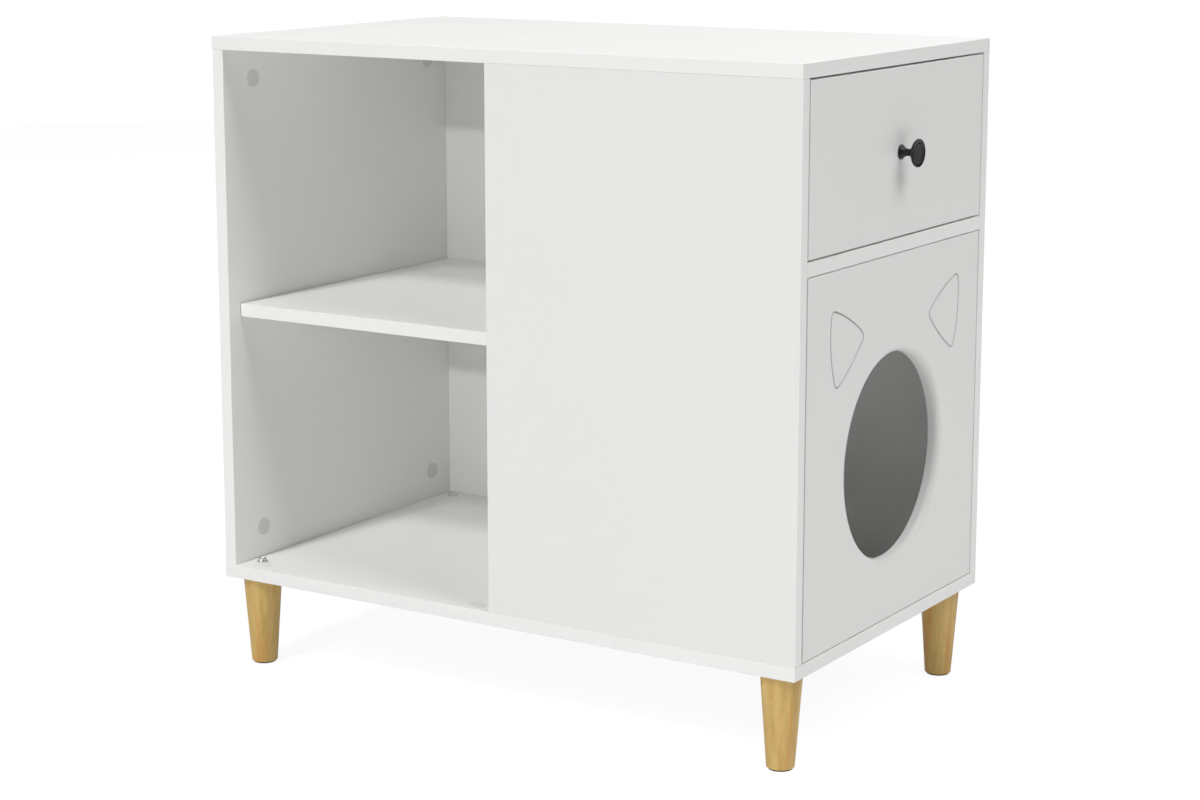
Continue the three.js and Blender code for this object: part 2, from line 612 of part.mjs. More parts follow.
/** The magnet's housing, under the deck just behind the strike plate. */
function magnetCatch() {
  const front = FACE_INNER - STRIKE_METAL - FIT;
  const y = [CATCH_Y - CATCH_WIDTH / 2, CATCH_Y + CATCH_WIDTH / 2];
  const z = [DECK_BOTTOM - CATCH_HEIGHT, DECK_BOTTOM];
  const body = block([front - CATCH_DEPTH, front], y, z);
  const earReach = 12;
  const earDrop = [z[0] - 1, z[1] - 3];
  const notches = [
    block([front - CATCH_DEPTH - 1, front + 1], [y[0] - 1, y[0] + earReach], earDrop),
    block([front - CATCH_DEPTH - 1, front + 1], [y[1] - earReach, y[1] + 1], earDrop),
  ];
  return piece('magnet_catch', cut(body, ...notches), whitePlastic);
}

function strikePlate() {
  const y = [CATCH_Y - STRIKE_WIDTH / 2, CATCH_Y + STRIKE_WIDTH / 2];
  const middle = DECK_BOTTOM - CATCH_HEIGHT + STRIKE_HEIGHT / 2;
  const z = [middle - STRIKE_HEIGHT / 2, middle + STRIKE_HEIGHT / 2];
  return piece('strike_plate', block([FACE_INNER - STRIKE_METAL, FACE_INNER], y, z), zinc);
}

// ---------------------------------------------------------------- drawer

/** The space that the drawer bottom's edge takes in the boards round it. */
function bottomGroove() {
  const x = [BOX_X[0] - 1, FACE_INNER + GROOVE_DEPTH];
  const inner = [BOX_Y[0] + DRAWER_BOARD, BOX_Y[1] - DRAWER_BOARD];
  const y = [inner[0] - GROOVE_DEPTH, inner[1] + GROOVE_DEPTH];
  return block(x, y, [GROOVE_Z, GROOVE_Z + SHEET + GROOVE_PLAY]);
}

function drawerFront() {
  const body = board([FACE_INNER, RIGHT], FACE_Y, DRAWER_FACE_Z);
  const screwHole = alongX(rod(KNOB_SCREW_RADIUS + FIT, -1, BOARD + 1, ROD_SIDES));
  const hole = solid(screwHole.translate(FACE_INNER, HOLE_Y, KNOB_Z));
  return piece('drawer_front', cut(body, hole, bottomGroove()), whiteBoard);
}

function drawerSide(name, y) {
  return piece(`drawer_side_${name}`, cut(board(BOX_X, y, BOX_Z), bottomGroove()), whiteBoard);
}

/** The back stands on the drawer bottom, between the sides. */
function drawerBack() {
  const x = [BOX_X[0], BOX_X[0] + DRAWER_BOARD];
  const y = [BOX_Y[0] + DRAWER_BOARD, BOX_Y[1] - DRAWER_BOARD];
  return piece('drawer_back', board(x, y, [GROOVE_Z + SHEET, BOX_Z[1]]), whiteBoard);
}

function drawerBottom() {
  const play = GROOVE_PLAY;
  const inner = [BOX_Y[0] + DRAWER_BOARD, BOX_Y[1] - DRAWER_BOARD];
  const x = [BOX_X[0] + play, FACE_INNER + GROOVE_DEPTH - play];
  const y = [inner[0] - GROOVE_DEPTH + play, inner[1] + GROOVE_DEPTH - play];
  return piece('drawer_bottom', block(x, y, [GROOVE_Z, GROOVE_Z + SHEET]), whiteSheet);
}

/** A turned mushroom knob with a shallow dished face, made from the drawer front outwards. */
function knob() {
  const length = KNOB_LENGTH;
  const bore = KNOB_SCREW_RADIUS + FIT;
  const boreDepth = KNOB_SCREW_GRIP + BORE_PLAY;
  const rise = KNOB_NECK_RISE;
  const back = length - KNOB_HEAD_THICKNESS;
  const profile = [
    [0, boreDepth],
    [bore, boreDepth],
    [bore, 0],
    [KNOB_BASE_RADIUS, 0],
    [KNOB_BASE_RADIUS, rise * 0.17],
    [KNOB_BASE_RADIUS * 0.86, rise * 0.32],
    [KNOB_BASE_RADIUS * 0.65, rise * 0.55],
    [KNOB_NECK_RADIUS * 1.1, rise * 0.78],
    [KNOB_NECK_RADIUS, rise],
    [KNOB_NECK_RADIUS * 1.1, (rise + back) / 2],
    [KNOB_NECK_RADIUS * 1.55, back],
    [KNOB_RADIUS * 0.64, back + KNOB_HEAD_THICKNESS * 0.17],
    [KNOB_RADIUS * 0.88, back + KNOB_HEAD_THICKNESS * 0.37],
    [KNOB_RADIUS * 0.985, back + KNOB_HEAD_THICKNESS * 0.56],
    [KNOB_RADIUS, back + KNOB_HEAD_THICKNESS * 0.68],
    [KNOB_RADIUS, length - 1.5],
    [KNOB_RADIUS * 0.96, length - 0.5],
    [KNOB_RADIUS * 0.89, length],
    [KNOB_RADIUS * 0.79, length - 0.7],
    [KNOB_RADIUS * 0.5, length - 0.6],
    [0, length - 0.3],
  ];
  const geometry = alongX(turned(profile, 32));
  return pieceAt('knob', geometry, blackPaint, [RIGHT, HOLE_Y, KNOB_Z]);
}

/** A machine screw from inside the drawer, through its front and into the knob. */
function knobScrew() {
  const profile = [
    [0, -KNOB_SCREW_HEAD * 0.5],
    [1, -KNOB_SCREW_HEAD],
    [KNOB_SCREW_HEAD_RADIUS * 0.75, -KNOB_SCREW_HEAD],
    [KNOB_SCREW_HEAD_RADIUS, -KNOB_SCREW_HEAD * 0.5],
    [KNOB_SCREW_HEAD_RADIUS, 0],
    [KNOB_SCREW_RADIUS, 0],
    [KNOB_SCREW_RADIUS, BOARD + KNOB_SCREW_GRIP],
    [0, BOARD + KNOB_SCREW_GRIP],
  ];
  const geometry = alongX(turned(profile, ROD_SIDES));
  return pieceAt('knob_screw', geometry, zinc, [FACE_INNER, HOLE_Y, KNOB_Z]);
}

// ---------------------------------------------------------------- ball-bearing slides

/** A channel section in [y, z]: a web from y0 to y1 and flanges out to yLip, about z = 0. */
function channelSection(y0, y1, yLip, height, metal) {
  const top = height / 2;
  return [
    [y0, -top],
    [yLip, -top],
    [yLip, -top + metal],
    [y1, -top + metal],
    [y1, top - metal],
    [yLip, top - metal],
    [yLip, top],
    [y0, top],
  ];
}

// Each slide is worked out with y counted from the cabinet wall towards the drawer. The wall is
// the front panel for the front slide, and the back board, looking the other way, for the rear.
const SLIDE_WALLS = [
  { name: 'front', wall: PANEL_BACK, way: 1 },
  { name: 'rear', wall: BACK_INNER, way: -1 },
];

/** A channel section placed on its wall, as a flat shape. */
function onWall(section, { wall, way }) {
  return new THREE.Shape(section.map(([y, z]) => new THREE.Vector2(wall + way * y, SLIDE_Z + z)));
}

function slideChannel(side) {
  const section = channelSection(0, SLIDE_METAL, SLIDE_LIP, SLIDE_HEIGHT, SLIDE_METAL);
  return piece(`slide_channel_${side.name}`, runAlongX(onWall(section, side), SLIDE_X), zinc);
}

function slideRunner(side) {
  const web = [SLIDE_SPACE, SLIDE_SPACE - SLIDE_METAL];
  const lip = SLIDE_SPACE - SLIDE_INNER_LIP;
  const section = channelSection(...web, lip, SLIDE_INNER_HEIGHT, SLIDE_METAL);
  return piece(`slide_runner_${side.name}`, runAlongX(onWall(section, side), SLIDE_X), zinc);
}

/** The ball cage, half-way along the slide when shut: it travels half as far as the drawer. */
function slideCage(side) {
  const { wall, way, name } = side;
  const ballZ = (SLIDE_HEIGHT / 2 - SLIDE_METAL + SLIDE_INNER_HEIGHT / 2) / 2;
  const web = [CAGE_STAND_OFF, CAGE_STAND_OFF + CAGE_METAL];
  const height = 2 * ballZ + CAGE_METAL;
  const length = SLIDE_OVERLAP - 2 * CAGE_PLAY;
  const pitch = length / BALLS_PER_ROW;
  const middle = (SLIDE_X[0] + SLIDE_X[1]) / 2;
  const section = channelSection(...web, CAGE_STAND_OFF + CAGE_LIP, height, CAGE_METAL);
  const strip = solid(runAlongX(onWall(section, side), [middle - length / 2, middle + length / 2]));
  const balls = [];
  for (let index = 0; index < BALLS_PER_ROW; index += 1) {
    const x = middle + (index - (BALLS_PER_ROW - 1) / 2) * pitch;
    for (const z of [SLIDE_Z - ballZ, SLIDE_Z + ballZ]) {
      const ball = new THREE.SphereGeometry(BALL_RADIUS, 8, 6);
      balls.push(solid(ball.translate(x, wall + way * BALL_REACH, z)));
    }
  }
  return piece(`slide_cage_${name}`, join(strip, ...balls), zinc);
}

// ---------------------------------------------------------------- the cabinet

const carcass = assembly(
  topBoard(),
  bottomBoard(),
  leftSideBoard(),
  dividerBoard(),
  frontPanel(),
  backBoard(),
  deckBoard(),
  shelfBoard(),
  floorCap('left', SIDE_INNER + FLOOR_CAP_INSET_X),
  floorCap('right', DIVIDER_LEFT - FLOOR_CAP_INSET_X),
);
const shelfPins = assembly(...SHELF_PIN_PLACES.map(shelfPin));
const camFittings = assembly(...CAM_PLACES.flatMap((place) => [cam(place), camBolt(place), camCap(place)]));
const legs = assembly(...LEG_PLACES.flatMap((place) => [leg(place), glide(place), legBolt(place)]));

const slides = assembly(...SLIDE_WALLS.flatMap((side) => [slideChannel(side), slideCage(side)]));
const drawer = assembly(
  drawerFront(),
  drawerSide('front', [BOX_Y[0], BOX_Y[0] + DRAWER_BOARD]),
  drawerSide('rear', [BOX_Y[1] - DRAWER_BOARD, BOX_Y[1]]),
  drawerBack(),
  drawerBottom(),
  knob(),
  knobScrew(),
  ...SLIDE_WALLS.map(slideRunner),
);

const doorBushes = assembly(pivotBush('top', 1), pivotBush('bottom', -1), magnetCatch());
const door = assembly(catDoor(), pivotPin('top', 1), pivotPin('bottom', -1), strikePlate());

const cabinet = assembly(carcass, shelfPins, camFittings, legs, slides, drawer, doorBushes, door);
cabinet.name = 'cat_litter_box_cabinet';

export default cabinet;
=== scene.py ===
"""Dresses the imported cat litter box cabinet: laminated boards, turned legs, fittings and studio.

Everything is in metres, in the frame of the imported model: +X is the end with the drawer and the
cat door, -Y is the front with the open shelves, +Z is up and the floor is at z = 0. Only the ear
outline and the profiles of the knob, covers and bolt heads are written in millimetres.
"""

import json
import math

import bmesh
import bpy
from mathutils import Matrix, Vector


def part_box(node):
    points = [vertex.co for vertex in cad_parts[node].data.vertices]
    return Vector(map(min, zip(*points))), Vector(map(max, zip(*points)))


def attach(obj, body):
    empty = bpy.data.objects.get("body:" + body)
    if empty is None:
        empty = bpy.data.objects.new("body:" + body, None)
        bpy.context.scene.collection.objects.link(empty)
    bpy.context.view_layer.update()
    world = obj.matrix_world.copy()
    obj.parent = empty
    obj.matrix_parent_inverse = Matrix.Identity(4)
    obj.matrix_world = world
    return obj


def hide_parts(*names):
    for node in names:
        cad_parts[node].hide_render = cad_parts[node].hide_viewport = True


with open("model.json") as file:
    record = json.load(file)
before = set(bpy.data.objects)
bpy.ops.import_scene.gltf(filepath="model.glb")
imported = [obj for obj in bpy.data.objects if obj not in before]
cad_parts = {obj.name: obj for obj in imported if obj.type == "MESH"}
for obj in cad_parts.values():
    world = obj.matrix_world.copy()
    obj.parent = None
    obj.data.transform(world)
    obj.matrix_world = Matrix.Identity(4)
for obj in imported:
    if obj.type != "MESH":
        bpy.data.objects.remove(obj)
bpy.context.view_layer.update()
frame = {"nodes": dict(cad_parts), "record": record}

MM = 0.001
ALONG_X = Vector((1, 0, 0))
UP = Vector((0, 0, 1))
BODY_OF = {
    node: body
    for body, nodes in frame["record"]["behaviour"]["bodies"].items()
    for node in nodes
}
SLOT_OF = {row["node"]: row["material_slot"] for row in frame["record"]["subparts"]}


# ---------------------------------------------------------------- shader building


class Shader:
    """A node tree under construction, with short ways to add and join its nodes."""

    def __init__(self, tree):
        self.tree = tree

    def add(self, kind, inputs=None, **settings):
        """Adds a node, sets its properties, and fills or joins its inputs by name or number."""
        node = self.tree.nodes.new(kind)
        for name, value in settings.items():
            setattr(node, name, value)
        for key, value in (inputs or {}).items():
            socket = node.inputs[key]
            if isinstance(value, bpy.types.NodeSocket):
                self.tree.links.new(value, socket)
            else:
                socket.default_value = value
        return node

    def math(self, operation, first, second=0.0, third=0.0):
        """The result of an operation on up to three values."""
        inputs = {0: first, 1: second, 2: third}
        return self.add("ShaderNodeMath", inputs, operation=operation).outputs[0]

    def blend(self, share, low, high):
        """A colour between two others."""
        inputs = {0: share, 6: low, 7: high}
        return self.add("ShaderNodeMix", inputs, data_type="RGBA").outputs[2]

    def noise(self, vector, scale, detail=2.0, roughness=0.5):
        """Soft noise between 0 and 1, with its scale in patches per metre."""
        inputs = {"Vector": vector, "Scale": scale, "Detail": detail, "Roughness": roughness}
        return self.add("ShaderNodeTexNoise", inputs).outputs["Fac"]


def shader_group(name, inputs, outputs, build):
    """A node group with named sockets. build gets a Shader and the inputs, and returns outputs."""
    tree = bpy.data.node_groups.new(name, "ShaderNodeTree")
    for label, kind, value in inputs:
        socket = tree.interface.new_socket(label, in_out="INPUT", socket_type=kind)
        socket.default_value = value
    for label, kind in outputs:
        tree.interface.new_socket(label, in_out="OUTPUT", socket_type=kind)
    shader = Shader(tree)
    entry = shader.add("NodeGroupInput")
    made = build(shader, entry.outputs)
    end = shader.add("NodeGroupOutput")
    for label, _ in outputs:
        tree.links.new(made[label], end.inputs[label])
    return tree


FLOAT, COLOUR, VECTOR = "NodeSocketFloat", "NodeSocketColor", "NodeSocketVector"
SURFACE_OUTPUTS = [("Color", COLOUR), ("Roughness", FLOAT), ("Height", FLOAT)]

FINE_PEARL_RATIO = 3.1
FINE_PEARL_SHARE = 0.35


def build_surface_variation(shader, given):
    """Very slight clouding of the colour and sheen, and a fine pearl in the height."""
    clouds = shader.noise(given["Vector"], given["Cloud Scale"], detail=3.0)
    centred = shader.math("SUBTRACT", clouds, 0.5)
    swing = shader.math("MULTIPLY", centred, given["Cloud Depth"])
    factor = shader.math("ADD", swing, 1.0)
    clouded = {0: given["Color"], 1: factor}
    colour = shader.add("ShaderNodeVectorMath", clouded, operation="MULTIPLY").outputs["Vector"]
    sheen_swing = shader.math("MULTIPLY", centred, given["Sheen Swing"])
    roughness = shader.math("ADD", given["Roughness"], sheen_swing)
    coarse = shader.noise(given["Vector"], given["Pearl Scale"], detail=1.0)
    fine_scale = shader.math("MULTIPLY", given["Pearl Scale"], FINE_PEARL_RATIO)
    fine = shader.noise(given["Vector"], fine_scale, detail=2.0)
    height = shader.math("MULTIPLY_ADD", fine, FINE_PEARL_SHARE, coarse)
    return {"Color": colour, "Roughness": roughness, "Height": height}


SURFACE_VARIATION = shader_group(
    "surface variation",
    [
        ("Vector", VECTOR, (0.0, 0.0, 0.0)),
        ("Color", COLOUR, (0.8, 0.8, 0.8, 1.0)),
        ("Roughness", FLOAT, 0.5),
        ("Cloud Scale", FLOAT, 5.0),
        ("Cloud Depth", FLOAT, 0.03),
        ("Sheen Swing", FLOAT, 0.1),
        ("Pearl Scale", FLOAT, 700.0),
    ],
    SURFACE_OUTPUTS,
    build_surface_variation,
)

# The scale of each pattern along the grain, as a share of its scale across it.
STREAK_STRETCH = 0.09
WARM_STRETCH = 0.06
FLECK_STRETCH = 0.3
FIBRES_PER_METRE = 520.0
FLECKS_PER_METRE = 420.0
WARM_SCALE_SHARE = 0.8
# The stretch of the noise, from low to high, over which each pattern comes up.
STREAK_RANGE = (0.3, 0.72)
FIBRE_RANGE = (0.3, 0.7)
WARM_RANGE = (0.56, 0.74)
FLECK_RANGE = (0.58, 0.74)
# How far each pattern goes towards its own colour.
STREAK_SHARE = 0.65
FIBRE_SHARE = 0.35
WARM_SHARE = 0.75
FLECK_SHARE = 0.22
GRAIN_ROUGHNESS_SWING = 0.1


def build_wood_grain(shader, given):
    """Straight grain along Z: broad soft streaks, a few warmer ones, fine fibre and pale flecks."""

    def drawn_out(share):
        inputs = {"Vector": given["Vector"], "Scale": (1.0, 1.0, share)}
        return shader.add("ShaderNodeMapping", inputs).outputs["Vector"]

    def masked(value, span):
        inputs = {"Value": value, "From Min": span[0], "From Max": span[1]}
        return shader.add("ShaderNodeMapRange", inputs).outputs["Result"]

    long_way, short_way = drawn_out(STREAK_STRETCH), drawn_out(FLECK_STRETCH)
    streaks_per_metre = given["Streaks Per Metre"]
    broad = masked(shader.noise(long_way, streaks_per_metre, detail=2.5), STREAK_RANGE)
    fibres = shader.noise(long_way, FIBRES_PER_METRE, detail=3.0, roughness=0.6)
    fibre = masked(fibres, FIBRE_RANGE)
    warm_scale = shader.math("MULTIPLY", streaks_per_metre, WARM_SCALE_SHARE)
    warm = masked(shader.noise(drawn_out(WARM_STRETCH), warm_scale, detail=1.5), WARM_RANGE)
    fleck = masked(shader.noise(short_way, FLECKS_PER_METRE, detail=1.0), FLECK_RANGE)
    broad_part = shader.math("MULTIPLY", broad, STREAK_SHARE)
    streak = shader.math("MULTIPLY_ADD", fibre, FIBRE_SHARE, broad_part)
    grain = shader.math("MULTIPLY", streak, given["Contrast"])
    plain = shader.blend(grain, given["Light"], given["Dark"])
    warmed = shader.blend(shader.math("MULTIPLY", warm, WARM_SHARE), plain, given["Warm"])
    colour = shader.blend(shader.math("MULTIPLY", fleck, FLECK_SHARE), warmed, given["Light"])
    roughness = shader.math("MULTIPLY_ADD", grain, GRAIN_ROUGHNESS_SWING, given["Roughness"])
    return {"Color": colour, "Roughness": roughness, "Height": fibre}


WOOD_GRAIN = shader_group(
    "wood grain",
    [
        ("Vector", VECTOR, (0.0, 0.0, 0.0)),
        ("Light", COLOUR, (0.6, 0.4, 0.2, 1.0)),
        ("Dark", COLOUR, (0.4, 0.2, 0.1, 1.0)),
        ("Warm", COLOUR, (0.5, 0.25, 0.08, 1.0)),
        ("Streaks Per Metre", FLOAT, 85.0),
        ("Contrast", FLOAT, 1.0),
        ("Roughness", FLOAT, 0.45),
    ],
    SURFACE_OUTPUTS,
    build_wood_grain,
)


# ---------------------------------------------------------------- materials

UNSTRETCHED = (1.0, 1.0, 1.0)


def new_material(name, group, values, bump, metallic=0.0, specular=0.5, stretch=UNSTRETCHED):
    """A Principled material whose colour, roughness and bump come from one of the groups.

    bump is the strength of the relief and its depth, and stretch scales the pattern on each axis.
    """
    material = bpy.data.materials.new(name)
    material.use_nodes = True
    tree = material.node_tree
    tree.nodes.clear()
    shader = Shader(tree)
    place = shader.add("ShaderNodeTexCoord").outputs["Object"]
    if stretch != UNSTRETCHED:
        place = shader.add("ShaderNodeMapping", {"Vector": place, "Scale": stretch}).outputs["Vector"]
    finish = shader.add("ShaderNodeGroup", node_tree=group)
    tree.links.new(place, finish.inputs["Vector"])
    for key, value in values.items():
        finish.inputs[key].default_value = value
    strength, depth = bump
    relief = shader.add(
        "ShaderNodeBump",
        {"Height": finish.outputs["Height"], "Strength": strength, "Distance": depth},
    )
    principled = shader.add(
        "ShaderNodeBsdfPrincipled",
        {
            "Base Color": finish.outputs["Color"],
            "Roughness": finish.outputs["Roughness"],
            "Metallic": metallic,
            "Specular IOR Level": specular,
            "Normal": relief.outputs["Normal"],
        },
    )
    output = shader.add("ShaderNodeOutputMaterial")
    tree.links.new(principled.outputs["BSDF"], output.inputs["Surface"])
    return material


def even_finish(name, colour, roughness, clouds, pearl, bump, **more):
    """A finish of one colour, with its depth of clouding and its number of pearls per metre."""
    values = {"Color": colour, "Roughness": roughness, "Cloud Depth": clouds, "Pearl Scale": pearl}
    return new_material(name, SURFACE_VARIATION, values, bump, **more)


def grey(value, blue=1.0):
    """A near-neutral linear colour, warmer for a lower share of blue."""
    return (value, value, value * blue, 1.0)


OFF_WHITE_BLUE = 0.98


def off_white(value):
    """The slightly warm white of the boards, edge bands and covers."""
    return grey(value, OFF_WHITE_BLUE)


LAMINATE = {"roughness": 0.46, "clouds": 0.01, "pearl": 650.0, "bump": (0.12, 0.05 * MM)}
MOULDED = {"roughness": 0.5, "clouds": 0.02, "pearl": 1800.0, "bump": (0.15, 0.03 * MM)}

MATERIALS = {
    "laminate": even_finish("white laminate", off_white(0.90), **LAMINATE),
    # The fronts take a darker copy of the same white laminate. The difference is painted shade: the
    # real fronts are the same board as the carcass.
    "front": even_finish("white laminate darkened as painted shade", off_white(0.77), **LAMINATE),
    # The grey of the ear grooves is painted shade that darkens the recess.
    "groove": even_finish(
        "grey groove as painted shade",
        grey(0.5, 0.97),
        roughness=0.7,
        clouds=0.05,
        pearl=1500.0,
        bump=(0.2, 0.04 * MM),
    ),
    "edge_band": even_finish(
        "white edge band",
        off_white(0.835),
        roughness=0.40,
        clouds=0.01,
        pearl=900.0,
        bump=(0.08, 0.04 * MM),
    ),
    "sheet": even_finish(
        "white lacquered sheet",
        off_white(0.80),
        roughness=0.6,
        clouds=0.04,
        pearl=400.0,
        bump=(0.2, 0.06 * MM),
    ),
    "wood": new_material(
        "clear lacquered hardwood",
        WOOD_GRAIN,
        {
            "Light": (0.66, 0.42, 0.11, 1.0),
            "Dark": (0.44, 0.245, 0.04, 1.0),
            "Warm": (0.50, 0.20, 0.028, 1.0),
            "Contrast": 1.25,
            "Roughness": 0.42,
        },
        bump=(0.15, 0.05 * MM),
    ),
    "knob": even_finish(
        "satin black paint",
        grey(0.0035),
        roughness=0.42,
        clouds=0.2,
        pearl=1500.0,
        bump=(0.15, 0.03 * MM),
        specular=0.18,
    ),
    "pad": even_finish(
        "black felt",
        grey(0.006),
        roughness=0.9,
        clouds=0.4,
        pearl=2200.0,
        bump=(0.6, 0.2 * MM),
        specular=0.1,
    ),
    "zinc": even_finish(
        "bright zinc",
        grey(0.62),
        roughness=0.3,
        clouds=0.12,
        pearl=500.0,
        bump=(0.1, 0.03 * MM),
        metallic=1.0,
        stretch=(0.08, 1.0, 1.0),
    ),
    "cover": even_finish("grey white cover", off_white(0.68), **MOULDED),
    "pale_cover": even_finish("pale cover", off_white(0.83), **MOULDED),
    "plastic": even_finish("fine matt white plastic", off_white(0.84), **MOULDED),
}

MATERIAL_OF_SLOT = {
    "white_board": "laminate",
    "drawer_sheet": "sheet",
    "leg_wood": "wood",
    "leg_pad": "pad",
    "black_knob": "knob",
    "zinc_steel": "zinc",
    "white_plastic": "plastic",
}


# ---------------------------------------------------------------- finishing a piece


def place_piece(bm, name, node, materials):
    """Makes a mesh into a smooth piece that stands for a CAD node and rides on its body."""
    mesh = bpy.data.meshes.new(name)
    bm.normal_update()
    bm.to_mesh(mesh)
    bm.free()
    for key in materials:
        mesh.materials.append(MATERIALS[key])
    mesh.shade_smooth()
    piece = bpy.data.objects.new(name, mesh)
    bpy.context.scene.collection.objects.link(piece)
    even = piece.modifiers.new("even normals", "WEIGHTED_NORMAL")
    even.mode = "FACE_AREA"
    even.weight = 90
    even.keep_sharp = True
    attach(piece, BODY_OF[node])
    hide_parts(node)


# ---------------------------------------------------------------- laminated boards

BOARD_EASE = 0.8 * MM
BOARD_EASE_SEGMENTS = 3
FLAT = 0.999  # a face is flat across an axis when its normal has this much of it


def board_mesh(low, high):
    """A board between two corners, with its edges rounded."""
    bm = bmesh.new()
    bmesh.ops.create_cube(bm, size=1.0)
    bmesh.ops.scale(bm, vec=high - low, verts=bm.verts)
    bmesh.ops.translate(bm, vec=(low + high) / 2, verts=bm.verts)
    bmesh.ops.bevel(
        bm,
        geom=bm.edges[:],
        offset=BOARD_EASE,
        offset_type="OFFSET",
        affect="EDGES",
        segments=BOARD_EASE_SEGMENTS,
        profile=0.5,
        material=-1,
    )
    bm.normal_update()
    return bm


def laminated_board(node, face_material):
    """A board in the place of its CAD node. All but its two wide faces are edge band."""
    low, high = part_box(node)
    bm = board_mesh(low, high)
    thin = min(range(3), key=lambda axis: high[axis] - low[axis])
    for face in bm.faces:
        if abs(face.normal[thin]) < FLAT:
            face.material_index = 1
    place_piece(bm, node + "_laminated", node, [face_material, "edge_band"])


CARCASS_BOARDS = (
    "top_board",
    "bottom_board",
    "left_side_board",
    "divider_board",
    "back_board",
    "deck_board",
    "shelf_board",
)
FRONTS = ("front_panel", "drawer_front")

for node in CARCASS_BOARDS:
    laminated_board(node, "laminate")
# The panel and the drawer front take the darker copy of the laminate, which is painted shade.
for node in FRONTS:
    laminated_board(node, "front")


# ---------------------------------------------------------------- turned profiles


def spin_line(bm, points, centre, axis, steps):
    """Joins some points into an open line and spins it once round an axis."""
    verts = [bm.verts.new(point) for point in points]
    edges = [bm.edges.new(pair) for pair in zip(verts, verts[1:])]
    bmesh.ops.spin(
        bm,
        geom=verts + edges,
        cent=centre,
        axis=axis,
        angle=math.tau,
        steps=steps,
        use_merge=True,
    )


def turn_profile(profile, axis, centre, steps):
    """Spins a profile of (radius, distance along the axis) into a turned solid."""
    bm = bmesh.new()
    side = Vector((0, 1, 0)) if axis.x else Vector((1, 0, 0))
    points = [side * radius + axis * height for radius, height in profile]
    spin_line(bm, points, (0, 0, 0), axis, steps)
    bmesh.ops.remove_doubles(bm, verts=bm.verts, dist=0.01 * MM)
    bmesh.ops.recalc_face_normals(bm, faces=bm.faces)
    bmesh.ops.translate(bm, vec=centre, verts=bm.verts)
    return bm


def arc(centre, radius, start, end, count):
    """Points of an arc in a profile, by angles in degrees from the radial direction."""
    across, along = centre
    points = []
    for step in range(count + 1):
        angle = math.radians(start + (end - start) * step / count)
        points.append((across + radius * math.cos(angle), along + radius * math.sin(angle)))
    return points


def flowing_line(points, steps):
    """A smooth line through a few points of a profile."""
    first, last = points[0], points[-1]
    ends = [tuple(2 * a - b for a, b in zip(first, points[1])), *points]
    ends.append(tuple(2 * a - b for a, b in zip(last, points[-2])))
    line = []
    for before, start, end, after in zip(ends, ends[1:], ends[2:], ends[3:]):
        for step in range(steps):
            t = step / steps
            line.append(
                tuple(
                    b + 0.5 * t * (c - a + t * (2 * a - 5 * b + 4 * c - d + t * (3 * (b - c) + d - a)))
                    for a, b, c, d in zip(before, start, end, after)
                )
            )
    return [*line, last]


def in_mm(profile):
    """A profile in metres, from one written in millimetres."""
    return [(radius * MM, height * MM) for radius, height in profile]


# ---------------------------------------------------------------- legs and pads

LEG_TOP_RADIUS = 24 * MM
LEG_TOP_EASE = 0.7 * MM
LEG_FOOT_RADIUS = 16 * MM
LEG_FOOT_EASE = 0.8 * MM
LEG_STEPS = 72
PAD_EASE = 0.4 * MM
PAD_STEPS = 64
LEG_PLACES = ("front_left", "front_right", "rear_left", "rear_right")


def middle_of_underside(low, high):
    return Vector(((low.x + high.x) / 2, (low.y + high.y) / 2, low.z))


def turned_leg(node):
    """A straight tapered leg, with its foot and its top edge rounded."""
    low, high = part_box(node)
    length = high.z - low.z
    foot_middle = (LEG_FOOT_RADIUS - LEG_FOOT_EASE, LEG_FOOT_EASE)
    foot = arc(foot_middle, LEG_FOOT_EASE, -90, 4, 4)
    top_middle = (LEG_TOP_RADIUS - LEG_TOP_EASE, length - LEG_TOP_EASE)
    top = arc(top_middle, LEG_TOP_EASE, 0, 90, 3)
    profile = [(0, 0), *foot, *top, (0, length)]
    bm = turn_profile(profile, UP, middle_of_underside(low, high), LEG_STEPS)
    place_piece(bm, node + "_turned", node, ["wood"])


def leg_pad(node):
    """A round pad of felt, with its lower edge rounded."""
    low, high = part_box(node)
    radius, thickness = (high.x - low.x) / 2, high.z - low.z
    rim = arc((radius - PAD_EASE, PAD_EASE), PAD_EASE, -90, 0, 3)
    profile = [(0, 0), *rim, (radius, thickness), (0, thickness)]
    bm = turn_profile(profile, UP, middle_of_underside(low, high), PAD_STEPS)
    place_piece(bm, node + "_felt", node, ["pad"])


for place in LEG_PLACES:
    turned_leg("leg_" + place)
    leg_pad("leg_glide_" + place)


# ---------------------------------------------------------------- cat door

HOLE_RADIUS = 120 * MM
HOLE_RISE = 190.5 * MM  # bottom board to the middle of the hole
HOLE_ROUNDING = 8.5 * MM
HOLE_INNER_EASE = 1.5 * MM
HOLE_WALL_DEPTH = 0.6 * MM  # how far out from the hole's radius the edge band reaches
HOLE_STEPS = 144
GROOVE_HALF_WIDTH = 1.15 * MM
GROOVE_DEPTH = 1.6 * MM
GROOVE_STEPS = 8
# Corners of the right-hand ear, from the middle of the hole, in millimetres: (across, up).
EAR_TIP = Vector((160.5, 191.0))
EAR_INNER = Vector((81.0, 152.5))
EAR_LOWER = Vector((149.0, 101.0))
# Each side of an ear, and how far it bows out from its chord.
EAR_SIDES = ((EAR_INNER, EAR_TIP, 4.5), (EAR_TIP, EAR_LOWER, 7.0), (EAR_LOWER, EAR_INNER, 3.5))
EAR_CORNER_SHARE = 0.1
EAR_SIDE_STEPS = 14
EAR_CORNER_STEPS = 8
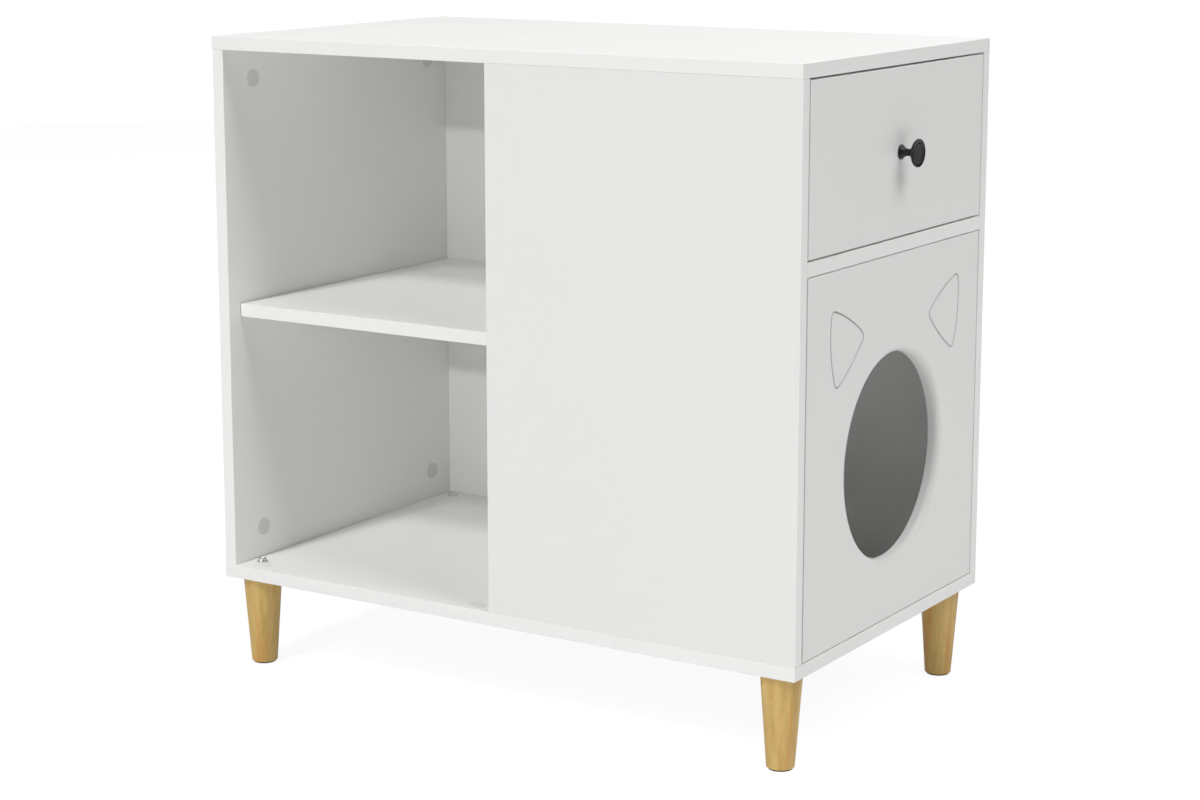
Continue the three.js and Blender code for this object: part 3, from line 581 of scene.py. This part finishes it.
# The door's wide faces take the darker front laminate, which is painted shade.
DOOR_MATERIALS = ["front", "groove", "edge_band"]
GROOVE_FACES = DOOR_MATERIALS.index("groove")
HOLE_WALL_FACES = DOOR_MATERIALS.index("edge_band")
SAME_PLANE = 1e-6


def bowed_side(start, end, bow, share):
    """A point on a side of an ear."""
    chord = end - start
    outward = Vector((-chord.y, chord.x)).normalized()
    return start + chord * share + outward * (4 * bow * share * (1 - share))


def ear_line():
    """The closed middle line of the right-hand ear's groove, with its corners rounded."""
    line = []
    for index, (start, end, bow) in enumerate(EAR_SIDES):
        for step in range(EAR_SIDE_STEPS + 1):
            share = EAR_CORNER_SHARE + (1 - 2 * EAR_CORNER_SHARE) * step / EAR_SIDE_STEPS
            line.append(bowed_side(start, end, bow, share))
        leave = line[-1]
        enter = bowed_side(*EAR_SIDES[(index + 1) % 3], EAR_CORNER_SHARE)
        for step in range(1, EAR_CORNER_STEPS):
            t = step / EAR_CORNER_STEPS
            line.append(leave * (1 - t) ** 2 + end * (2 * t * (1 - t)) + enter * t**2)
    return [point * MM for point in line]


def offset_line(line, distance):
    """A closed line moved outwards by a distance."""
    moved = []
    for index, point in enumerate(line):
        along = (line[(index + 1) % len(line)] - line[index - 1]).normalized()
        moved.append(point + Vector((-along.y, along.x)) * distance)
    return moved


def closed_loop(bm, points):
    """New edges that join some points into a closed line."""
    verts = [bm.verts.new(point) for point in points]
    return [bm.edges.new(pair) for pair in zip(verts, verts[1:] + verts[:1])]


def open_edges(bm, x):
    """The open edges that lie in one plane across X."""
    return [
        edge for edge in bm.edges
        if len(edge.link_faces) < 2 and all(abs(vert.co.x - x) < SAME_PLANE for vert in edge.verts)
    ]


def engrave_ear(bm, surface, centre, side):
    """Cuts the round groove of an ear and fills the flat inside it. Returns the groove's rim."""
    line = ear_line()
    loops = []
    for step in range(GROOVE_STEPS + 1):
        angle = math.pi * step / GROOVE_STEPS
        reach, sink = math.cos(angle) * GROOVE_HALF_WIDTH, math.sin(angle) * GROOVE_DEPTH
        points = [
            (surface - sink, centre.y + side * point.x, centre.z + point.y)
            for point in offset_line(line, reach)
        ]
        loops.append(closed_loop(bm, points))
    for outer, inner in zip(loops, loops[1:]):
        for face in bmesh.ops.bridge_loops(bm, edges=outer + inner)["faces"]:
            # The groove's faces take the grey of painted shade.
            face.material_index = GROOVE_FACES
    bmesh.ops.triangle_fill(bm, edges=loops[-1], use_beauty=True)
    return loops[0]


def spin_hole(bm, inside, outside, centre):
    """Spins the wall of the hole, with a small rounding inside and a large one outside."""
    inner_middle = (HOLE_RADIUS + HOLE_INNER_EASE, inside + HOLE_INNER_EASE)
    outer_middle = (HOLE_RADIUS + HOLE_ROUNDING, outside - HOLE_ROUNDING)
    profile = [
        *arc(inner_middle, HOLE_INNER_EASE, 270, 180, 3),
        *arc(outer_middle, HOLE_ROUNDING, 180, 90, 10),
    ]
    points = [(x, centre.y, centre.z + radius) for radius, x in profile]
    spin_line(bm, points, centre, ALONG_X, HOLE_STEPS)
    for face in bm.faces:
        if (face.calc_center_median() - centre).yz.length < HOLE_RADIUS + HOLE_WALL_DEPTH:
            face.material_index = HOLE_WALL_FACES


def cat_door():
    """The door, with a rounded rim to its hole and an engraved ear at each side above it."""
    low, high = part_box("cat_door")
    bm = board_mesh(low, high)
    wide = [face for face in bm.faces if abs(face.normal.x) > FLAT]
    bmesh.ops.delete(bm, geom=wide, context="FACES_ONLY")
    front, back = open_edges(bm, high.x), open_edges(bm, low.x)
    centre = Vector((0.0, (low.y + high.y) / 2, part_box("bottom_board")[1].z + HOLE_RISE))
    spin_hole(bm, low.x, high.x, centre)
    front_rim = [edge for edge in open_edges(bm, high.x) if edge not in front]
    back_rim = [edge for edge in open_edges(bm, low.x) if edge not in back]
    ears = engrave_ear(bm, high.x, centre, 1) + engrave_ear(bm, high.x, centre, -1)
    bmesh.ops.triangle_fill(bm, edges=front + front_rim + ears, use_beauty=True)
    bmesh.ops.triangle_fill(bm, edges=back + back_rim, use_beauty=True)
    bmesh.ops.recalc_face_normals(bm, faces=bm.faces)
    place_piece(bm, "cat_door_engraved", "cat_door", DOOR_MATERIALS)


cat_door()


# ---------------------------------------------------------------- knob

KNOB_STEPS = 96


def mushroom_knob():
    """A turned knob: a flared base, a thin neck and a wide head with a ring in its face."""
    low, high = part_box("knob")
    middle = (low + high) / 2
    length = (high.x - low.x) / MM
    radius = (high.z - low.z) / 2 / MM
    base = [(0, 0), *arc((8.0, 0.5), 0.5, -90, 0, 3), *arc((8.1, 1.3), 0.4, 0, 70, 3)]
    neck = [(7.4, 2.6), (5.7, 4.5), (4.5, 6.7), (4.1, 8.7), (4.4, 11.4), (5.9, 14.0)]
    back = [(9.2, 16.0), (12.9, 18.0), (15.2, 19.6)]
    rim = [(radius, 20.9), *arc((radius - 0.9, length - 0.9), 0.9, 0, 90, 6)]
    face = [(14.0, length - 0.25), (12.9, length - 0.7), (11.2, length - 0.75)]
    ring = [(10.4, length - 0.45), (9.6, length - 0.45), (8.8, length - 0.75)]
    middle_dish = [(5.0, length - 0.8), (0, length - 0.7)]
    profile = base + flowing_line(neck + back, 5) + rim + flowing_line(face + ring + middle_dish, 4)
    centre = Vector((low.x, middle.y, middle.z))
    bm = turn_profile(in_mm(profile), ALONG_X, centre, KNOB_STEPS)
    place_piece(bm, "knob_turned", "knob", ["knob"])


mushroom_knob()


# ---------------------------------------------------------------- covers of the fittings

COVER_STEPS = 64


def cover_cap(node, axis, material):
    """A thin round cover with a shallow ring, stuck over a fitting."""
    low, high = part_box(node)
    centre = (low + high) / 2
    out = list(axis).index(1)
    centre[out] = low[out]
    thickness = (high[out] - low[out]) / MM
    radius = (high.y - low.y) / 2 / MM
    profile = [
        (0, 0),
        (radius - 0.1, 0),
        *arc((radius - 0.35, thickness * 0.5 - 0.05), 0.35, 0, 80, 4),
        (radius - 1.6, thickness * 0.9),
        (6.4, thickness * 0.94),
        (6.1, thickness * 0.7),
        (5.5, thickness * 0.7),
        (5.2, thickness * 0.96),
        (2.5, thickness * 0.99),
        (0, thickness),
    ]
    bm = turn_profile(in_mm(profile), axis, centre, COVER_STEPS)
    place_piece(bm, node + "_ringed", node, [material])


for place in ("lower_front", "lower_rear", "upper_front", "upper_rear"):
    cover_cap("cam_cap_" + place, ALONG_X, "cover")
for place in ("left", "right"):
    cover_cap("floor_cap_" + place, UP, "pale_cover")


# ---------------------------------------------------------------- bolts of the legs

BOLT_STEPS = 48
SOCKET_SIDES = 6
SOCKET_RADIUS = 2.7 * MM
SOCKET_DEPTH = 2.2 * MM


def cut_socket(bm, middle):
    """Closes the open top of a bolt's head with a socket whose floor is flat."""
    top = [edge for edge in bm.edges if len(edge.link_faces) == 1]
    crown = max(vert.co.z for vert in bm.verts)
    around = Matrix.Translation((middle.x, middle.y, crown))
    mouth = bmesh.ops.create_circle(
        bm, cap_ends=False, segments=SOCKET_SIDES, radius=SOCKET_RADIUS, matrix=around
    )
    rim = list({edge for vert in mouth["verts"] for edge in vert.link_edges})
    bmesh.ops.bridge_loops(bm, edges=top + rim)
    deeper = bmesh.ops.extrude_edge_only(bm, edges=rim)["geom"]
    floor_verts = [item for item in deeper if isinstance(item, bmesh.types.BMVert)]
    bmesh.ops.translate(bm, vec=UP * -SOCKET_DEPTH, verts=floor_verts)
    floor_edges = [
        item for item in deeper
        if isinstance(item, bmesh.types.BMEdge) and all(vert in floor_verts for vert in item.verts)
    ]
    bmesh.ops.contextual_create(bm, geom=floor_edges)
    bmesh.ops.recalc_face_normals(bm, faces=bm.faces)


def leg_bolt(node):
    """A round head on a flange, with a six-sided socket, over a plain shank."""
    low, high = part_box(node)
    middle = (low + high) / 2
    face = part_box("bottom_board")[1].z
    head = (high.z - face) / MM
    radius = (high.x - low.x) / 2 / MM
    shank = (low.z - face) / MM
    profile = [
        (0, shank),
        *arc((2.2, shank + 0.8), 0.8, -90, 0, 3),
        (3.0, 0),
        (radius - 0.2, 0),
        *arc((radius - 0.4, head * 0.12), 0.4, -20, 70, 4),
        (5.6, head * 0.3),
        (5.25, head * 0.36),
        *arc((3.2, head - 2.05), 2.0, 0, 78, 8),
    ]
    bm = turn_profile(in_mm(profile), UP, Vector((middle.x, middle.y, face)), BOLT_STEPS)
    cut_socket(bm, middle)
    place_piece(bm, node + "_socketed", node, ["zinc"])


for place in LEG_PLACES:
    leg_bolt("leg_bolt_" + place)


# ---------------------------------------------------------------- the rest keeps its CAD shape

for node, piece in frame["nodes"].items():
    piece.data.materials.clear()
    piece.data.materials.append(MATERIALS[MATERIAL_OF_SLOT[SLOT_OF[node]]])


# ---------------------------------------------------------------- floor and backdrop

WHITE = (1.0, 1.0, 1.0, 1.0)
BLACK = (0.0, 0.0, 0.0, 1.0)
FLOOR_RADIUS = 7.0
FLOOR_WHITE = 0.75
FLOOR_GLOW_SHARE = 0.8
BACKDROP_GLOW = 1.12


def seen_and_lit(tree, seen, lit, share):
    """Mixes in another shader, by a share, where the camera itself looks. Returns the mix."""
    shader = Shader(tree)
    eye = shader.add("ShaderNodeLightPath").outputs["Is Camera Ray"]
    factor = shader.math("MULTIPLY", eye, share)
    return shader.add("ShaderNodeMixShader", {0: factor, 1: lit, 2: seen}).outputs["Shader"]


def pale_floor_material():
    """A matt white floor that glows a little to the camera, which keeps its shadows faint."""
    material = bpy.data.materials.new("pale floor")
    material.use_nodes = True
    tree = material.node_tree
    principled = tree.nodes["Principled BSDF"]
    principled.inputs["Base Color"].default_value = grey(FLOOR_WHITE)
    principled.inputs["Roughness"].default_value = 0.9
    principled.inputs["Specular IOR Level"].default_value = 0.1
    glow = tree.nodes.new("ShaderNodeEmission")
    glow.inputs["Color"].default_value = WHITE
    glow.inputs["Strength"].default_value = BACKDROP_GLOW
    surface = seen_and_lit(
        tree, glow.outputs["Emission"], principled.outputs["BSDF"], FLOOR_GLOW_SHARE
    )
    tree.links.new(surface, tree.nodes["Material Output"].inputs["Surface"])
    return material


def studio_floor():
    """A wide round floor that ends in the white backdrop."""
    bm = bmesh.new()
    bmesh.ops.create_circle(bm, cap_ends=True, segments=96, radius=FLOOR_RADIUS)
    mesh = bpy.data.meshes.new("studio floor")
    bm.to_mesh(mesh)
    bm.free()
    floor = bpy.data.objects.new("studio_floor", mesh)
    bpy.context.scene.collection.objects.link(floor)
    mesh.materials.append(pale_floor_material())


def studio_world():
    """A white backdrop that lights nothing: all the light comes from the lamps."""
    world = bpy.data.worlds.new("studio")
    bpy.context.scene.world = world
    world.use_nodes = True
    tree = world.node_tree
    dark = tree.nodes["Background"]
    dark.inputs["Color"].default_value = BLACK
    white = tree.nodes.new("ShaderNodeBackground")
    white.inputs["Color"].default_value = WHITE
    white.inputs["Strength"].default_value = BACKDROP_GLOW
    surface = seen_and_lit(tree, white.outputs["Background"], dark.outputs["Background"], 1.0)
    tree.links.new(surface, tree.nodes["World Output"].inputs["Surface"])


studio_floor()
studio_world()


# ---------------------------------------------------------------- lamps

LAMPS_AIM_HEIGHT = 0.45
# Name, azimuth and elevation in degrees, distance and size in metres, power in watts.
LAMPS = (
    ("low front", 0.0, 17.4, 14.0, 0.35, 305.0),
    ("front", -7.0, 38.0, 14.0, 0.8, 380.0),
    ("high front", -7.0, 46.0, 14.0, 1.6, 690.0),
    ("right", 90.0, 55.0, 7.0, 4.0, 305.0),
    ("rear", 180.0, 45.0, 10.0, 6.0, 320.0),
    ("left", 270.0, 30.0, 7.0, 3.0, 75.0),
)


def soft_light(name, azimuth, elevation, distance, size, power):
    """A square lamp round the cabinet. Azimuth 0 is the front and 90 the end with the door."""
    light = bpy.data.lights.new(name, "AREA")
    light.shape = "SQUARE"
    light.size = size
    light.energy = power
    lamp = bpy.data.objects.new(name, light)
    bpy.context.scene.collection.objects.link(lamp)
    turn, rise = math.radians(azimuth), math.radians(elevation)
    away = Vector((math.sin(turn) * math.cos(rise), -math.cos(turn) * math.cos(rise), math.sin(rise)))
    place = Matrix.Translation(Vector((0, 0, LAMPS_AIM_HEIGHT)) + away * distance)
    lamp.matrix_world = place @ away.to_track_quat("Z", "Y").to_matrix().to_4x4()
    lamp.visible_camera = False


for lamp in LAMPS:
    soft_light(*lamp)


# ---------------------------------------------------------------- camera and picture

CAMERA_PLACE = (1.6593, -2.6298, 0.9904)
CAMERA_DOWN = 10.63  # degrees below level
CAMERA_TURN = 32.40  # degrees from the front towards the end with the door
CAMERA_LENS = 78.18  # millimetres, on a sensor as wide as the next value
CAMERA_SENSOR = 36.0
CAMERA_SHIFT = -0.045
CAMERA_REACH = 200.0
PICTURE_GAMMA = 1.25


def photo_camera():
    """The photograph's camera: where it stands, where it looks and how long its lens is."""
    data = bpy.data.cameras.new("photo camera")
    camera = bpy.data.objects.new("photo_camera", data)
    bpy.context.scene.collection.objects.link(camera)
    bpy.context.scene.camera = camera
    data.sensor_width = CAMERA_SENSOR
    data.lens = CAMERA_LENS
    data.shift_y = CAMERA_SHIFT
    data.clip_end = CAMERA_REACH
    camera.location = CAMERA_PLACE
    camera.rotation_euler = (math.radians(90 - CAMERA_DOWN), 0.0, math.radians(CAMERA_TURN))


photo_camera()

scene = bpy.context.scene
scene.view_settings.view_transform = "Standard"
scene.view_settings.look = "None"
scene.view_settings.gamma = PICTURE_GAMMA
